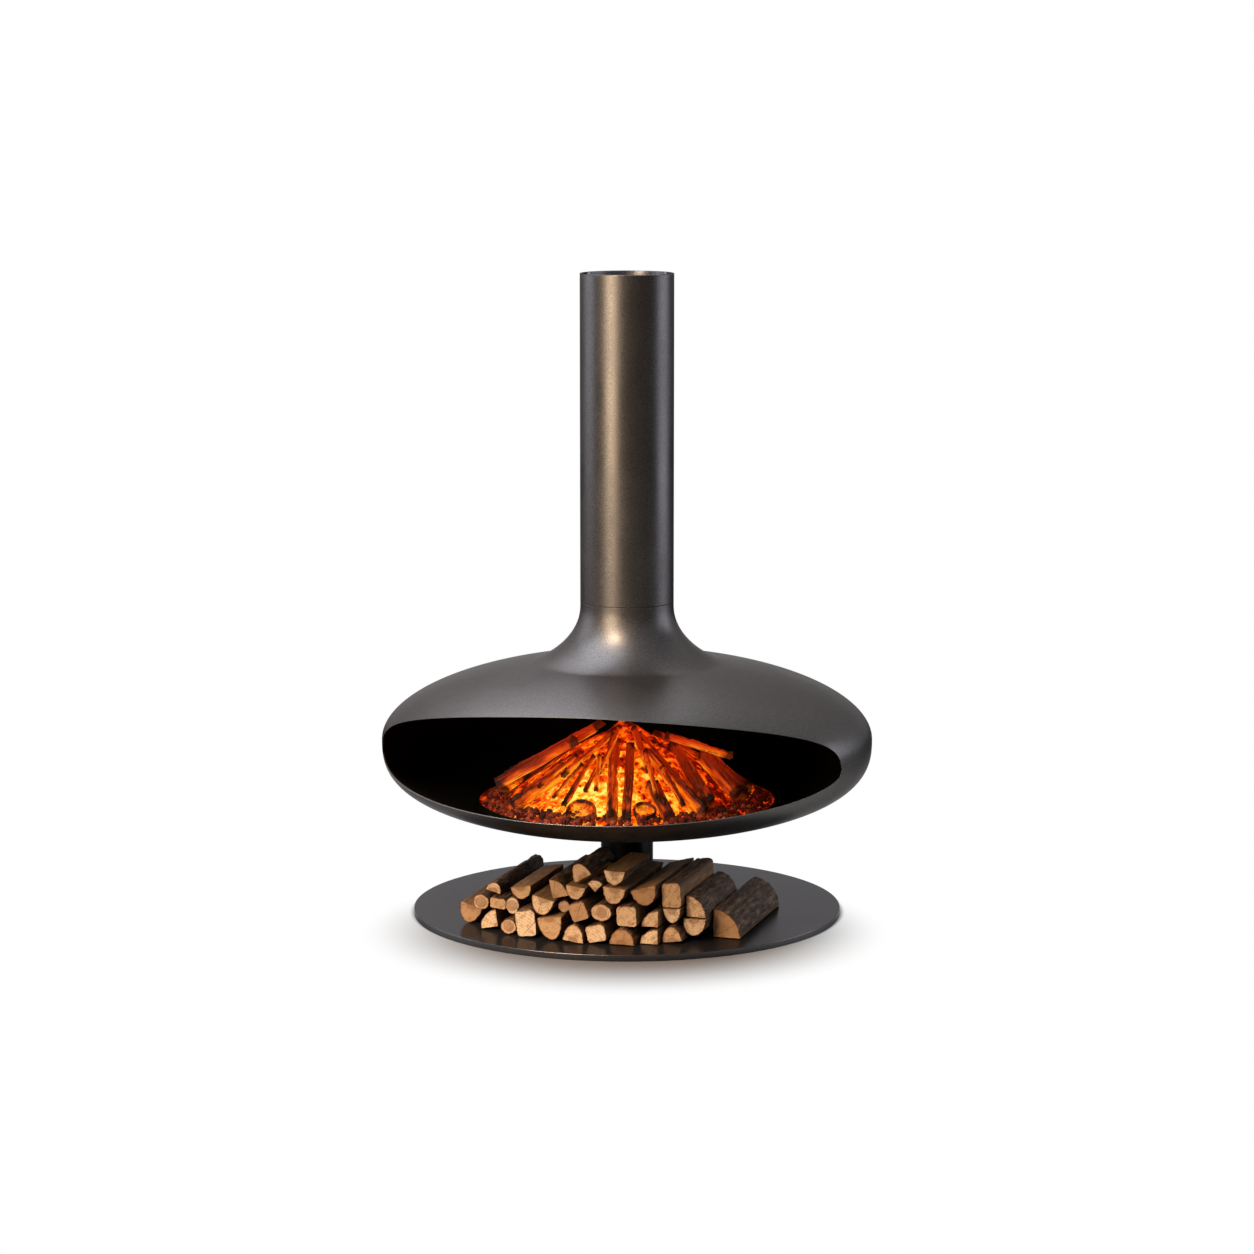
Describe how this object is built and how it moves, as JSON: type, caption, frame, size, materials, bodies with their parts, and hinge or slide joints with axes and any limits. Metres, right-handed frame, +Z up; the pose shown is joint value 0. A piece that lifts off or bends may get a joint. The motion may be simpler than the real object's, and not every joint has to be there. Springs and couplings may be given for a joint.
{
  "type": "hanging fireplace",
  "caption": "Swivelling round bowl-and-hood fireplace with a wide lens-shaped mouth, a flue duct above, a short column, a round base plate that stores split firewood, and a lit fire.",
  "frame": {"origin": "floor level on the axis of the column and flue, centre of the base plate's underside", "axes": "+Z up along the flue; the mouth faces -Y; the hood turns about Z"},
  "size_m": [0.9478, 0.9129, 1.24],
  "materials": {
    "plate_steel": "satin powder coat",
    "column_steel": "satin black powder coat",
    "hood_paint": "satin bronze-graphite metallic heat-proof paint",
    "inside_black": "semi-gloss black heat-proof paint",
    "liner_steel": "mill finish stainless sheet",
    "bearing_steel": "ground",
    "zinc_steel": "zinc plated",
    "bronze": "turned bearing bronze",
    "vermiculite": "pressed board",
    "rope_seal": "braided glass rope",
    "embers": "glowing embers and lava granules",
    "lava": "rough red-brown lava granules",
    "burning_wood": "charred and glowing",
    "split_wood": "raw split wood with bark",
    "knob_wood": "turned and oiled"
  },
  "bodies": {
    "root": {"base_plate": "plate_steel", "column_foot": "column_steel", "column_tube": "column_steel", "column_head": "column_steel", "foot_screws": "zinc_steel", "lower_race": "bearing_steel", "spindle_bush": "bronze", "firewood_bottom_row": "split_wood", "firewood_middle_row": "split_wood", "firewood_top_row": "split_wood", "flue_duct": "hood_paint", "flue_liner": "liner_steel", "flue_spacers": "liner_steel"},
    "hood": {"lower_shell": "hood_paint", "upper_shell": "hood_paint", "seam_band": "inside_black", "bowl_hub": "inside_black", "hub_screws": "zinc_steel", "upper_race": "bearing_steel", "spindle": "bearing_steel", "spindle_washer": "zinc_steel", "spindle_nut": "zinc_steel", "insulation_board": "vermiculite", "hearth_plate": "inside_black", "ember_tray": "inside_black", "ember_bed": "embers", "lava_lumps": "lava", "fire_logs_front": "burning_wood", "fire_logs_back": "burning_wood", "fire_kindling": "burning_wood", "wood_slices": "burning_wood", "neck_collar": "inside_black", "throat_tube": "inside_black", "flue_seal": "rope_seal", "damper_bushes": "bronze"},
    "bearing": {"bearing_cage": "bronze", "bearing_balls": "bearing_steel"},
    "damper": {"damper_flap": "inside_black", "damper_spindle": "zinc_steel", "damper_lever": "inside_black", "damper_knob": "knob_wood", "damper_screws": "zinc_steel"}
  },
  "joints": [
    {"name": "hood_swivel", "type": "hinge", "parent": "root", "child": "hood", "pos_m": [0, 0, 0], "axis": [0, 0, 1], "continuous": true},
    {"name": "bearing_spin", "type": "hinge", "parent": "root", "child": "bearing", "pos_m": [0, 0, 0], "axis": [0, 0, 1], "continuous": true},
    {"name": "damper_turn", "type": "hinge", "parent": "hood", "child": "damper", "pos_m": [0, 0, 0.51136], "axis": [1, 0, 0], "range_deg": [0, 90]}
  ],
  "couplings": [
    {"joint": "bearing_spin", "follows": "hood_swivel", "ratio": 0.5}
  ]
}
